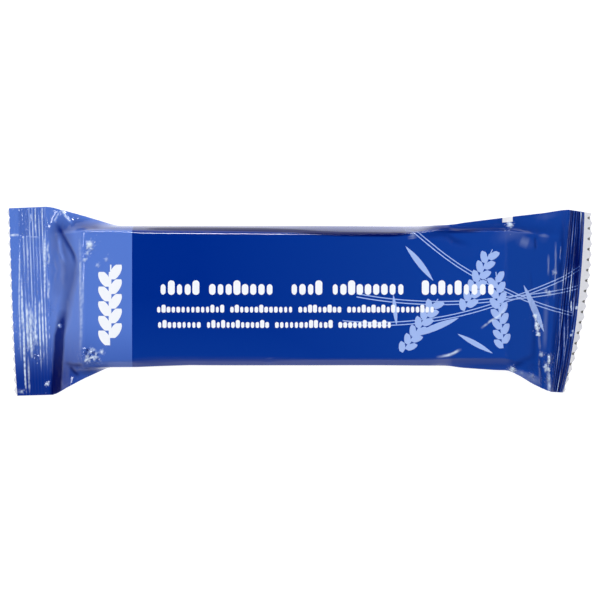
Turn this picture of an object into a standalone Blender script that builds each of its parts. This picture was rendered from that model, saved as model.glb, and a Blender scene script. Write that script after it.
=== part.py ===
"""Energy bar sealed in a flow-wrap pack: one solid, lying on its folded back seam.

Metres, +Z up. X runs along the bar, Y across it. The origin is the middle of the pack on the surface it
lies on. The film is one tube of constant girth: it wraps the bar as a rounded trapezoid, runs down a slope
at each end and is pressed flat into a ribbed end seal, cut off by a toothed knife. A point of the film is
named by its girth, the distance round the tube from the middle of the top face: the top corner, the outer
fold, the back corner and the middle of the back follow in that order on each side.
"""

import math

import bmesh
import bpy
import numpy as np

MM = 0.001

# The bar in its film: a trapezoid in section, a little wider at the back than on top.
TOP_WIDTH = 37.3 * MM
BACK_WIDTH = 41.0 * MM
BAR_HEIGHT = 15.4 * MM
TOP_CROWN = 0.3 * MM
CORNER_ROUNDING = 1.4 * MM
SEAL_ROUNDING = 0.14 * MM
BAR_LEFT = -62.4 * MM
BAR_RIGHT = 59.1 * MM
# How far the bar and the end seals lie to the far side of the pack's own middle.
BAR_SHIFT = 1.55 * MM
SEAL_SHIFT = 0.2 * MM

# The flat width of the pressed tube is half of the girth round the bar.
WALL = math.hypot((BACK_WIDTH - TOP_WIDTH) / 2, BAR_HEIGHT)
FLAT_WIDTH = TOP_WIDTH / 2 + WALL + BACK_WIDTH / 2
TOP_CORNER = TOP_WIDTH / 2
OUTER_FOLD = FLAT_WIDTH / 2
BACK_CORNER = TOP_CORNER + WALL
BACK_MIDDLE = FLAT_WIDTH

# The back: two flat strips under the bar's long edges, and the fin seam folded flat between them.
STRIP_INNER = 15.2 * MM
HOLLOW_EDGE = 14.4 * MM
HOLLOW_DEPTH = 0.4 * MM
FIN_HALF = 5.0 * MM
FIN_STEP = 0.2 * MM

# The end seals. Each is a strip of ribs with a plain margin outside it.
SEAL_THICKNESS = 0.36 * MM
FOLD_ROOM = 0.6 * MM
RIB_PITCH = 0.94 * MM
RIB_COUNT = 8
RIB_HEIGHT = 0.24 * MM
RIB_START = 0.5 * MM
SEAL_REACH = 14.5 * MM
TOOTH_PITCH = 3.05 * MM
TOOTH_DEPTH = 0.8 * MM
KNIFE_LENGTH = 24.0 * MM
KNIFE_WIDTH = 70.0 * MM

# Each end, with lengths in metres:
#   border, height, turn: the seal's inner border, at the pack's middle, and its angle in plan
#   droop: how far the seal bends down at its middle, at its far (+Y) end and at its near (-Y) end
#   squeeze: the seal's width in plan as a share of the flat width, under 1 where its ends curl
#   cut, lean, bow: the knife's line in plan, x = cut + lean * y + bow * y * y
#   far_flare, near_flare: how far each outer fold has gone out to the flat width, at each x
LEFT_END = {
    "outward": -1.0,
    "bar_end": BAR_LEFT,
    "border": -72.8 * MM,
    "height": 7.0 * MM,
    "turn": math.radians(2.1),
    "droop": (math.radians(4.0), math.radians(4.0), math.radians(14.0)),
    "squeeze": 1.0,
    "cut": -84.5 * MM,
    "lean": -0.036,
    "bow": 0.0,
    "far_flare": ((-53.5 * MM, 0.0), (-72.0 * MM, 1.0)),
    "near_flare": ((-55.5 * MM, 0.0), (-64.3 * MM, 0.5), (-72.5 * MM, 1.0)),
}
RIGHT_END = {
    "outward": 1.0,
    "bar_end": BAR_RIGHT,
    "border": 75.0 * MM,
    "height": 7.6 * MM,
    "turn": math.radians(-5.8),
    "droop": (math.radians(31.0), math.radians(42.0), math.radians(52.0)),
    "squeeze": 0.972,
    "cut": 83.7 * MM,
    "lean": 0.15,
    "bow": -3.4,
    "far_flare": ((41.5 * MM, 0.0), (46.5 * MM, 0.22), (57.0 * MM, 0.45), (66.0 * MM, 1.0)),
    "near_flare": ((42.0 * MM, 0.0), (46.0 * MM, 0.11), (60.5 * MM, 0.17), (70.8 * MM, 1.0)),
}
FLARE_EASE = 1.2 * MM
SHOULDER_EASE = 0.8 * MM
SHOULDER = 1.2 * MM

FILM_BLUE = (1 / 255, 43 / 255, 138 / 255)
FILM_ROUGHNESS = 0.25
SHARP_ANGLE = math.radians(30)


def linear(channel):
    """An sRGB channel as a linear value."""
    if channel <= 0.04045:
        return channel / 12.92
    return ((channel + 0.055) / 1.055) ** 2.4


def ramp(position, start, full, soft):
    """Rises from 0 at start to 1 at full, with both of its corners rounded over +-soft."""
    span = full - start
    along = (position - start) / span
    ease = abs(soft / span)

    def area(value):
        inside = np.clip(value, 0.0, 1.0)
        return inside**2 / 2 + np.maximum(value - 1.0, 0.0)

    return (area(along + ease) - area(along - ease)) / (2 * ease)


def bar_section(girth):
    """Where the film lies round the bar at a signed girth: (y from the bar's middle, z), corners sharp."""
    side = np.sign(girth)
    walked = np.abs(girth)
    on_wall = np.clip((walked - TOP_CORNER) / WALL, 0.0, 1.0)
    wall_y = TOP_WIDTH / 2 + on_wall * (BACK_WIDTH - TOP_WIDTH) / 2
    back_y = BACK_MIDDLE - walked
    y = np.where(walked < TOP_CORNER, walked, np.where(walked < BACK_CORNER, wall_y, back_y))
    crown = TOP_CROWN * np.clip(1 - (walked / TOP_CORNER) ** 2, 0.0, 1.0)
    hollow = HOLLOW_DEPTH * np.clip((STRIP_INNER - back_y) / (STRIP_INNER - HOLLOW_EDGE), 0.0, 1.0)
    fin = np.clip((FIN_HALF + FIN_STEP - back_y) / FIN_STEP, 0.0, 1.0)
    z = BAR_HEIGHT * (1 - on_wall) + crown
    z = np.where(walked < BACK_CORNER, z, hollow * (1 - fin))
    return np.stack([side * y, z], axis=-1)


def rounded_section(girth, rounding):
    """The same section with its four long corners rounded, as the mean over a short stretch of film."""
    near_corner = np.minimum(np.abs(np.abs(girth) - TOP_CORNER), np.abs(np.abs(girth) - BACK_CORNER))
    reach = np.where(near_corner < rounding, rounding, 0.0)
    steps = np.linspace(-1, 1, 9)
    return np.mean([bar_section(girth + step * reach) for step in steps], axis=0)


def across_seal(girth):
    """Where the same point lies in a flat seal: (distance from its middle, -1 to 1 through its thickness)."""
    walked = np.abs(girth)
    across = np.where(walked < OUTER_FOLD, walked, FLAT_WIDTH - walked)
    layer = np.where(walked < OUTER_FOLD, 1.0, -1.0) * np.clip((OUTER_FOLD - across) / FOLD_ROOM, 0.0, 1.0)
    return np.sign(girth) * across, layer


def seal_ring(end, girth, distance, rib):
    """The ring of the pressed film at a distance outward from the seal's inner border."""
    across, layer = across_seal(girth)
    middle_droop, far_droop, near_droop = end["droop"]
    end_droop = np.where(across > 0, far_droop, near_droop)
    droop = middle_droop + (end_droop - middle_droop) * (across / OUTER_FOLD) ** 2
    raised = rib + layer * SEAL_THICKNESS / 2
    level = distance * np.cos(droop) + raised * np.sin(droop)
    z = end["height"] - distance * np.sin(droop) + raised * np.cos(droop)
    across = across * end["squeeze"]
    turn = end["turn"]
    x = end["border"] - across * math.sin(turn) + end["outward"] * level * math.cos(turn)
    y = SEAL_SHIFT + across * math.cos(turn) + end["outward"] * level * math.sin(turn)
    return np.stack([x, y, z], axis=-1)


def flare_share(flare, x):
    """How far an outer fold has gone out at x, with the corners of its path eased."""
    places, shares = zip(*sorted(flare))
    return np.mean([np.interp(x + step * FLARE_EASE, places, shares) for step in np.linspace(-1, 1, 5)])


def end_share(end, girth, x):
    """How far each point of the ring at x has gone from the bar's section (0) to the flat seal (1)."""
    walked = np.abs(girth)
    near_fold = np.where(
        walked < OUTER_FOLD,
        (walked - TOP_CORNER) / (OUTER_FOLD - TOP_CORNER),
        (BACK_CORNER - walked) / (BACK_CORNER - OUTER_FOLD),
    )
    near_fold = np.clip(near_fold, 0.0, 1.0)
    fold = np.where(girth > 0, flare_share(end["far_flare"], x), flare_share(end["near_flare"], x))
    flat = ramp(x, end["bar_end"], end["border"], SHOULDER_EASE)
    return flat + (fold - flat) * near_fold


def body_ring(end, girth, x):
    """The ring of film at a nominal x between the two seals, shaped by the nearer end."""
    to_seal = np.clip((x - end["bar_end"]) / (end["border"] - end["bar_end"]), 0.0, 1.0)
    rounding = CORNER_ROUNDING + (SEAL_ROUNDING - CORNER_ROUNDING) * to_seal
    share = end_share(end, girth, x)[:, None]
    bar = rounded_section(girth, rounding) + (BAR_SHIFT, 0)
    seal = seal_ring(end, girth, 0.0, 0.0)
    place = bar * (1 - share) + seal[:, 1:] * share
    turned_x = x - math.tan(end["turn"]) * place[:, :1] * to_seal
    return np.hstack([turned_x, place])


def rib_rings(end, girth):
    """The rings of a seal from its outermost, past the knife, to its first rib: crests and hollows in turn."""
    rings = []
    for half_rib in range(2 * RIB_COUNT + 1):
        rib = RIB_HEIGHT / 2 * (-1) ** half_rib
        rings.append(seal_ring(end, girth, RIB_START + half_rib * RIB_PITCH / 2, rib))
    rings.append(seal_ring(end, girth, RIB_START + (RIB_COUNT + 0.5) * RIB_PITCH, 0.0))
    rings.append(seal_ring(end, girth, SEAL_REACH, 0.0))
    return rings[::-1]


def film_girths():
    """The girths that carry the section's shape, both sides, once round the tube."""
    inside_rounding = 0.93 * CORNER_ROUNDING
    half = [
        0.38 * TOP_CORNER,
        0.74 * TOP_CORNER,
        TOP_CORNER - inside_rounding,
        TOP_CORNER - inside_rounding / 3,
        TOP_CORNER + inside_rounding / 3,
        TOP_CORNER + inside_rounding,
        (TOP_CORNER + OUTER_FOLD) / 2,
        OUTER_FOLD - FOLD_ROOM,
        OUTER_FOLD,
        OUTER_FOLD + FOLD_ROOM,
        (BACK_CORNER + OUTER_FOLD) / 2,
        BACK_CORNER - inside_rounding,
        BACK_CORNER,
        BACK_CORNER + inside_rounding,
        BACK_MIDDLE - STRIP_INNER,
        BACK_MIDDLE - HOLLOW_EDGE,
        BACK_MIDDLE - FIN_HALF - FIN_STEP,
        BACK_MIDDLE - FIN_HALF,
    ]
    return np.array([0.0, *half, BACK_MIDDLE, *(-value for value in reversed(half))])


def end_stations(end, slope_count, flare_count):
    """The stations from an end's border, down its slope and over the shoulder, to where its flare begins."""
    inward = -end["outward"]
    flare_start = end["far_flare"][0][0] + inward * FLARE_EASE
    slope = np.linspace(end["border"], end["bar_end"] - inward * SHOULDER, slope_count)
    shoulder = end["bar_end"] + inward * SHOULDER * np.array([-1 / 3, 1 / 3, 1])
    flare = np.linspace(end["bar_end"] + 2.5 * inward * SHOULDER, flare_start, flare_count)
    return [*slope, *shoulder, *flare]


def loft(name, rings):
    """A closed solid through rings of equal numbers of points, with a flat cap on the first and last."""
    shape = bmesh.new()
    loops = [[shape.verts.new(point) for point in ring] for ring in rings]
    for near, far in zip(loops, loops[1:]):
        for i in range(len(near)):
            j = (i + 1) % len(near)
            shape.faces.new((near[i], near[j], far[j], far[i]))
    shape.faces.new(loops[0])
    shape.faces.new(loops[-1])
    bmesh.ops.recalc_face_normals(shape, faces=shape.faces)
    mesh = bpy.data.meshes.new(name)
    shape.to_mesh(mesh)
    shape.free()
    return bpy.data.objects.new(name, mesh)


def knife(name, end):
    """The toothed cutter: all that lies outward of a zigzag line across the seal, seen from above."""
    teeth = round(KNIFE_WIDTH / TOOTH_PITCH)
    shape = bmesh.new()
    edge = []
    for step in range(2 * teeth + 1):
        y = (step / 2 - teeth / 2) * TOOTH_PITCH
        x = end["cut"] + end["lean"] * y + end["bow"] * y * y
        edge.append(shape.verts.new((x - end["outward"] * TOOTH_DEPTH * (step % 2), y, -BAR_HEIGHT)))
    back = end["cut"] + end["outward"] * KNIFE_LENGTH
    edge.append(shape.verts.new((back, teeth / 2 * TOOTH_PITCH, -BAR_HEIGHT)))
    edge.append(shape.verts.new((back, -teeth / 2 * TOOTH_PITCH, -BAR_HEIGHT)))
    blade = bmesh.ops.extrude_face_region(shape, geom=[shape.faces.new(edge)])
    lifted = [part for part in blade["geom"] if isinstance(part, bmesh.types.BMVert)]
    bmesh.ops.translate(shape, verts=lifted, vec=(0, 0, 2 * BAR_HEIGHT))
    bmesh.ops.recalc_face_normals(shape, faces=shape.faces)
    mesh = bpy.data.meshes.new(name)
    shape.to_mesh(mesh)
    shape.free()
    cutter = bpy.data.objects.new(name, mesh)
    cutter.hide_render = True
    cutter.display_type = "WIRE"
    return cutter


def printed_film():
    """Glossy polypropylene film in the deep blue of the pack's print."""
    material = bpy.data.materials.new("printed_film")
    material.use_nodes = True
    shader = material.node_tree.nodes["Principled BSDF"]
    shader.inputs["Base Color"].default_value = (*map(linear, FILM_BLUE), 1)
    shader.inputs["Roughness"].default_value = FILM_ROUGHNESS
    shader.inputs["Metallic"].default_value = 0.0
    return material


def build():
    for old in list(bpy.data.objects):
        bpy.data.objects.remove(old, do_unlink=True)
    parts = bpy.data.collections.new("energy_bar")
    cutters = bpy.data.collections.new("cutters")
    cutters.hide_render = True
    for collection in (parts, cutters):
        bpy.context.scene.collection.children.link(collection)

    girth = film_girths()
    left_stations = end_stations(LEFT_END, 6, 4)
    right_stations = end_stations(RIGHT_END, 9, 6)
    middle = np.linspace(left_stations[-1], right_stations[-1], 7)
    rings = rib_rings(LEFT_END, girth)
    rings.extend(body_ring(LEFT_END, girth, x) for x in (*left_stations, *middle[1:3]))
    rings.extend(body_ring(RIGHT_END, girth, x) for x in (*middle[3:-1], *reversed(right_stations)))
    rings.extend(reversed(rib_rings(RIGHT_END, girth)))

    wrapper = loft("wrapper", rings)
    wrapper.data.materials.append(printed_film())
    wrapper.data.shade_smooth()
    wrapper.data.set_sharp_from_angle(angle=SHARP_ANGLE)
    parts.objects.link(wrapper)
    for name, end in (("left_knife", LEFT_END), ("right_knife", RIGHT_END)):
        cutter = knife(name, end)
        cutters.objects.link(cutter)
        cut = wrapper.modifiers.new(name, "BOOLEAN")
        cut.operation = "DIFFERENCE"
        cut.solver = "EXACT"
        cut.object = cutter


build()
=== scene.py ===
import math

import bmesh
import bpy
import numpy as np
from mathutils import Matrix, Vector, noise


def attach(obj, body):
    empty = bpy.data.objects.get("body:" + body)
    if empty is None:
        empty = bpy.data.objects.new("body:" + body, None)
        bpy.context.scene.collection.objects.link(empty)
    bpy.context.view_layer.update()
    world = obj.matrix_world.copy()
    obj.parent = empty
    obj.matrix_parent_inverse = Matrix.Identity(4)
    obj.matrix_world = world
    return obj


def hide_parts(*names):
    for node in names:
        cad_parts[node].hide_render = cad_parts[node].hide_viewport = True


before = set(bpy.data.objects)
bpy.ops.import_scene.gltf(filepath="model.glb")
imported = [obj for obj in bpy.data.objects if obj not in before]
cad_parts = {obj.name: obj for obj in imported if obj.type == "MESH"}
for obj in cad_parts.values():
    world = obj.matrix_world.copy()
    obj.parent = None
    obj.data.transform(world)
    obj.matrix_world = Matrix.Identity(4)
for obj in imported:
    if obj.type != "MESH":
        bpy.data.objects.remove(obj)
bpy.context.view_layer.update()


# The film tube: one web of printed polypropylene film, folded round the bar into a tube and drawn tight by
# the wrapping machine. Here it starts as the flat web, a grid with the film's own lengths as its map, and
# is wrapped round the bar. A point keeps its girth, the distance round the tube from the top's middle.
MM = 0.001
TOP_WIDTH = 37.3 * MM
BACK_WIDTH = 41.0 * MM
BAR_HEIGHT = 15.4 * MM
TOP_CROWN = 0.3 * MM
BAR_SHIFT = 1.55 * MM
SEAL_SHIFT = 0.2 * MM
SPREAD = (BACK_WIDTH - TOP_WIDTH) / 2
WALL = math.hypot(SPREAD, BAR_HEIGHT)
FLAT_WIDTH = TOP_WIDTH / 2 + WALL + BACK_WIDTH / 2
TOP_CORNER = TOP_WIDTH / 2
OUTER_FOLD = FLAT_WIDTH / 2
BACK_CORNER = TOP_CORNER + WALL
STRIP_INNER = 15.2 * MM
HOLLOW_EDGE = 14.4 * MM
HOLLOW_DEPTH = 0.4 * MM
FILM_THICKNESS = 0.24 * MM
FOLD_ROOM = 0.6 * MM
SEAL_ROUNDING = 0.14 * MM
SEAL_REACH = 14.5 * MM
FLARE_EASE = 1.2 * MM
SHOULDER_EASE = 0.8 * MM

# What changes along the pack, as (x in millimetres, value). In millimetres: how far the long corners are
# rounded, and how far the two top edges are drawn in, easing off over EDGE_EASE. As plain numbers: the power
# by which the far wall bulges, the share of its spread that the near wall keeps, and the share of its height
# in which the near wall goes out.
CORNER_ROUNDING = ((-51.0, 0.35), (-46.0, 1.0), (-10.0, 1.0), (2.0, 0.4))
FAR_EDGE_IN = ((-56.0, 0.0), (-40.0, 0.25), (-12.0, 0.45), (10.0, 0.95), (26.0, 0.9), (38.0, 0.0))
NEAR_EDGE_IN = ((-50.0, 0.0), (-42.0, 0.6), (32.0, 0.6), (44.0, 0.9), (58.0, 0.9), (66.0, 0.0))
EDGE_EASE = 8.0 * MM
FAR_BULGE = ((-10.0, 4.0), (20.0, 2.4), (34.0, 2.0), (39.5, 4.0), (45.0, 1.7))
NEAR_REACH = ((-47.0, 1.0), (-32.0, 0.7), (22.0, 0.7), (44.0, 0.75), (56.0, 1.0))
NEAR_CHAMFER = ((38.0, 0.145), (44.0, 0.5))

# The two ends. Each seal starts at its border, at a height, turned in plan, and droops by one angle in its
# middle and by others at its far and near corners. The flares say how far the two outer folds have gone out
# towards the seal, from 0 to 1, and the lifts how many millimetres the slack film stands up there.
LEFT_END = {
    "outward": -1.0,
    "bar_end": -62.4 * MM,
    "border": -72.8 * MM,
    "height": 7.0 * MM,
    "turn": math.radians(2.1),
    "droop": (math.radians(4.0), math.radians(4.0), math.radians(14.0)),
    "squeeze": 1.0,
    "far_flare": ((-72.0, 1.0), (-53.5, 0.0)),
    "near_flare": ((-72.5, 1.0), (-64.3, 0.5), (-55.5, 0.0)),
    "far_lift": ((-72.0, 0.0), (-66.0, 1.5), (-58.0, 0.0)),
    "near_lift": ((-73.0, 0.0), (-67.0, 4.8), (-59.0, 5.4), (-54.0, 0.0)),
}
RIGHT_END = {
    "outward": 1.0,
    "bar_end": 59.1 * MM,
    "border": 75.0 * MM,
    "height": 7.6 * MM,
    "turn": math.radians(-5.8),
    "droop": (math.radians(31.0), math.radians(42.0), math.radians(52.0)),
    "squeeze": 0.972,
    "far_flare": ((41.5, 0.0), (46.5, 0.2), (57.0, 0.46), (69.0, 0.8), (74.0, 1.0)),
    "near_flare": (
        (42.0, 0.0), (46.0, 0.06), (60.0, 0.12), (64.0, 0.36), (68.2, 0.66), (70.7, 0.79), (75.0, 1.0)
    ),
    "far_lift": ((34.0, 0.0), (40.5, 6.9), (57.0, 6.4), (68.0, 2.0), (74.0, 0.0)),
    "near_lift": ((38.0, 0.0), (43.5, 6.1), (60.0, 6.0), (66.0, 5.2), (74.0, 0.0)),
}


def held(value):
    """The value, held between 0 and 1."""
    return np.clip(value, 0, 1)


def at(x, table):
    """The value at x of something that changes along the pack."""
    return np.interp(x / MM, *zip(*table))


def ramp(position, start, full, soft):
    """Rises from 0 at start to 1 at full, with both of its corners rounded over +-soft."""
    span = full - start
    along = (position - start) / span
    ease = abs(soft / span)

    def area(value):
        inside = held(value)
        return inside**2 / 2 + np.maximum(value - 1.0, 0.0)

    return (area(along + ease) - area(along - ease)) / (2 * ease)


def bar_section(girth, x):
    """Where the film lies round the bar: (y from the bar's middle, z), corners sharp.

    The far wall bulges. The near one goes out just below its corner, less so along the bar's middle, and then
    drops. Both top edges are drawn in along parts of the bar."""
    far = girth > 0
    walked = np.abs(girth)
    on_wall = held((walked - TOP_CORNER) / WALL)
    bulge = 1 - (1 - on_wall) ** at(x, FAR_BULGE)
    drawn_out = np.where(far, 1.0, at(x, NEAR_REACH))
    chamfer = at(x, NEAR_CHAMFER)
    out = np.where(far, bulge, drawn_out * held(on_wall / chamfer))
    wall_y = TOP_WIDTH / 2 + out * SPREAD
    edge_in = MM * np.where(far, at(x, FAR_EDGE_IN), at(x, NEAR_EDGE_IN))
    edge_reach = np.where(far | (walked < TOP_CORNER), EDGE_EASE, chamfer * WALL)
    edge_in = edge_in * held(1 - np.abs(walked - TOP_CORNER) / edge_reach)
    back_y = FLAT_WIDTH - walked
    near_back = back_y * (1 - (1 - drawn_out) * SPREAD / (BACK_WIDTH / 2))
    y = np.where(walked < TOP_CORNER, walked, np.where(walked < BACK_CORNER, wall_y, near_back))
    crown = TOP_CROWN * held(1 - (walked / TOP_CORNER) ** 2)
    hollow = HOLLOW_DEPTH * held((STRIP_INNER - back_y) / (STRIP_INNER - HOLLOW_EDGE))
    z = np.where(walked < BACK_CORNER, BAR_HEIGHT * (1 - on_wall) + crown, hollow)
    return np.stack([np.sign(girth) * (y - edge_in), z], axis=-1)


def rounded_section(girth, x, rounding):
    """The same section with its four long corners rounded, as the mean over a short stretch of film."""
    near_corner = np.minimum(np.abs(np.abs(girth) - TOP_CORNER), np.abs(np.abs(girth) - BACK_CORNER))
    reach = np.where(near_corner < rounding, rounding, 0.0)
    return np.mean([bar_section(girth + step * reach, x) for step in np.linspace(-1, 1, 9)], axis=0)


def across_seal(girth):
    """Where the same point lies in a flat seal: (distance from its middle, -1 to 1 through its thickness)."""
    walked = np.abs(girth)
    across = np.where(walked < OUTER_FOLD, walked, FLAT_WIDTH - walked)
    layer = np.where(walked < OUTER_FOLD, 1.0, -1.0) * held((OUTER_FOLD - across) / FOLD_ROOM)
    return np.sign(girth) * across, layer


def seal_place(end, girth, distance, raised):
    """A point of the pressed seal, at a distance outward from its inner border and raised off its middle."""
    across, layer = across_seal(girth)
    middle_droop, far_droop, near_droop = end["droop"]
    end_droop = np.where(across > 0, far_droop, near_droop)
    droop = middle_droop + (end_droop - middle_droop) * (across / OUTER_FOLD) ** 2
    raised = raised + layer * FILM_THICKNESS / 2
    level = distance * np.cos(droop) + raised * np.sin(droop)
    z = end["height"] - distance * np.sin(droop) + raised * np.cos(droop)
    across = across * end["squeeze"]
    turn = end["turn"]
    x = end["border"] - across * math.sin(turn) + end["outward"] * level * math.cos(turn)
    y = SEAL_SHIFT + across * math.cos(turn) + end["outward"] * level * math.sin(turn)
    return np.stack([x, y, z], axis=-1)


def flare_share(flare, x):
    """How far an outer fold has gone out at x, with the corners of its path eased."""
    steps = FLARE_EASE * np.linspace(-1, 1, 5)
    return np.mean([at(x + step, flare) for step in steps], axis=0)


def end_share(end, girth, x):
    """How far a point at x has gone from the bar's section (0) to the flat seal (1)."""
    walked = np.abs(girth)
    near_fold = np.where(
        walked < OUTER_FOLD,
        (walked - TOP_CORNER) / (OUTER_FOLD - TOP_CORNER),
        (BACK_CORNER - walked) / (BACK_CORNER - OUTER_FOLD),
    )
    fold = np.where(girth > 0, flare_share(end["far_flare"], x), flare_share(end["near_flare"], x))
    flat = ramp(x, end["bar_end"], end["border"], SHOULDER_EASE)
    return flat + (fold - flat) * held(near_fold)


def body_place(end, girth, x):
    """A point of the film between the seals, shaped by the nearer end."""
    to_seal = held((x - end["bar_end"]) / (end["border"] - end["bar_end"]))
    bar_rounding = MM * at(x, CORNER_ROUNDING)
    rounding = bar_rounding + (SEAL_ROUNDING - bar_rounding) * to_seal
    share = end_share(end, girth, x)[:, None]
    bar = rounded_section(girth, x, rounding) + (BAR_SHIFT, 0)
    seal = seal_place(end, girth, 0.0, 0.0)
    place = bar * (1 - share) + seal[:, 1:] * share
    fold_weight = held(1 - np.abs(np.abs(girth) - OUTER_FOLD) / (OUTER_FOLD - TOP_CORNER))
    place[:, 1] += MM * fold_weight * np.where(girth > 0, at(x, end["far_lift"]), at(x, end["near_lift"]))
    turned_x = x - math.tan(end["turn"]) * place[:, 0] * to_seal
    return np.hstack([turned_x[:, None], place])


def film_place(x, girth, raised):
    """Where the wrapped film carries a point of the flat web."""
    left_seal = seal_place(LEFT_END, girth, LEFT_END["border"] - x, raised)
    right_seal = seal_place(RIGHT_END, girth, x - RIGHT_END["border"], raised)
    left_body = body_place(LEFT_END, girth, x)
    right_body = body_place(RIGHT_END, girth, x)
    place = np.where((x < 0)[:, None], left_body, right_body)
    place = np.where((x < LEFT_END["border"])[:, None], left_seal, place)
    return np.where((x > RIGHT_END["border"])[:, None], right_seal, place)


# The web as a grid. It is finest in the seals, where the ribs are, and on the slopes, and coarser along the
# bar and on the back.
RIB_START = 0.5 * MM
RIB_END = 8.7 * MM
PAST_RIBS = 0.8 * MM
IN_MARGIN = 1.5 * MM
LEFT_SLOPE_END = -55.0 * MM
RIGHT_FOLD_START = 42.0 * MM
RIGHT_SLOPE_START = 52.0 * MM
WEB_STATIONS = np.concatenate([
    LEFT_END["border"] - np.linspace(SEAL_REACH, RIB_END + IN_MARGIN, 4),
    LEFT_END["border"] - np.linspace(RIB_END + PAST_RIBS, 0.0, 88),
    np.linspace(LEFT_END["border"], LEFT_SLOPE_END, 66)[1:],
    np.linspace(LEFT_SLOPE_END, RIGHT_FOLD_START, 60)[1:],
    np.linspace(RIGHT_FOLD_START, RIGHT_SLOPE_START, 22)[1:],
    np.linspace(RIGHT_SLOPE_START, RIGHT_END["border"], 84)[1:],
    RIGHT_END["border"] + np.linspace(0.0, RIB_END + PAST_RIBS, 88)[1:],
    RIGHT_END["border"] + np.linspace(RIB_END + IN_MARGIN, SEAL_REACH, 4),
])
WEB_ROWS = np.concatenate([
    np.linspace(-FLAT_WIDTH, -OUTER_FOLD, 25)[:-1],
    np.linspace(-OUTER_FOLD, OUTER_FOLD, 185),
    np.linspace(OUTER_FOLD, FLAT_WIDTH, 25)[1:],
])

web = bmesh.new()
bmesh.ops.create_grid(web, x_segments=len(WEB_STATIONS) - 1, y_segments=len(WEB_ROWS) - 1, size=1.0)
spots = np.array([vert.co[:2] for vert in web.verts])
column = np.rint((spots[:, 0] + 1) / 2 * (len(WEB_STATIONS) - 1)).astype(int)
row = np.rint((spots[:, 1] + 1) / 2 * (len(WEB_ROWS) - 1)).astype(int)
web_x = WEB_STATIONS[column]
web_girth = WEB_ROWS[row]
for vert, x, girth in zip(web.verts, web_x, web_girth):
    vert.co = (x, girth, 0)


def keep_map(shape):
    """Keeps each corner's place on the flat web as the shape's map."""
    flat_web = shape.loops.layers.uv.new("flat_web")
    for face in shape.faces:
        for corner in face.loops:
            corner[flat_web].uv = corner.vert.co.xy


keep_map(web)


def speckle(x, y, scale_x, scale_y, seed):
    """Smooth noise from -1 to 1, with its grains scale_x by scale_y metres in size."""
    return np.array([noise.noise(Vector((a / scale_x, b / scale_y, seed))) for a, b in zip(x, y)])


# The ribs of the end seals: heated jaws press them about a millimetre apart, and the film creeps under the
# jaw, so that each rib fades and swells along its length. The left seal's ribs are uneven near its middle and
# fade towards its near corner. Its far corner has a lap of film over it, with a step at its edge, where the
# ribs stay faint. The right seal's ribs also stand in groups.
RIB_PITCH = 0.94 * MM
RIB_HEIGHT = 0.3 * MM
RIB_GAP = 0.6 * MM
GROUP_PITCH = 2.3 * MM
GROUP_START = 0.9 * MM
GROUP_WANDER = 0.25 * MM
RIGHT_RIB_END = 6.7 * MM
UNEVEN_MIDDLE = -8.0 * MM
UNEVEN_WIDTH = 7.5 * MM
FADE_START = -22.0 * MM
FADE_WIDTH = 10.0 * MM
LAP_EDGE = 19.0 * MM
LAP_BLEND = 0.35 * MM
LAP_STEP = 0.26 * MM
LAP_START = 5.6 * MM
LAP_START_BLEND = 0.8 * MM

web_across = across_seal(web_girth)[0]
walked_girth = np.abs(web_girth)
left_depth = LEFT_END["border"] - web_x
right_depth = web_x - RIGHT_END["border"]
worn = speckle(web_x, web_across, 1.3 * MM, 9.0 * MM, 3.0)
broken = speckle(web_x, web_across, 0.7 * MM, 1.6 * MM, 8.0)
drawn = speckle(web_x, web_across, 0.9 * MM, 22.0 * MM, 14.0)
uneven = np.exp(-(((web_across - UNEVEN_MIDDLE) / UNEVEN_WIDTH) ** 2))
faded = held((web_across - FADE_START) / FADE_WIDTH)
strength = 0.55 + 0.5 * worn + 0.5 * drawn + (0.35 + 0.9 * broken) * uneven + 0.35 * (web_across > LAP_EDGE)
strength = np.clip(strength, 0.1, 1.5) * (0.35 + 0.65 * faded)
past_lap = held((web_across - LAP_EDGE) / LAP_BLEND)
on_lap = past_lap * held((left_depth - LAP_START) / LAP_START_BLEND)


def rib_band(depth, last):
    """1 where the jaws pressed ribs, and 0 in the plain margins beside them."""
    rise = held((depth - RIB_START / 2) / (RIB_START / 2))
    return rise * held((last - depth) / RIB_GAP)


left_band = rib_band(left_depth, RIB_END)
right_band = rib_band(right_depth, RIGHT_RIB_END)
left_ribs = RIB_HEIGHT / 2 * np.cos(2 * np.pi * (left_depth - RIB_START) / RIB_PITCH)
left_ribs = left_ribs * strength * left_band * (1 - 0.9 * on_lap)
left_ribs = left_ribs - LAP_STEP * on_lap
fine_ribs = np.cos(2 * np.pi * (right_depth - RIB_START) / RIB_PITCH) * np.clip(0.8 + worn, 0.2, 1.4)
group_ribs = np.cos(2 * np.pi * (right_depth - GROUP_START + GROUP_WANDER * drawn) / GROUP_PITCH)
right_ribs = RIB_HEIGHT / 2 * (fine_ribs + 0.8 * group_ribs) * right_band

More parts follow.
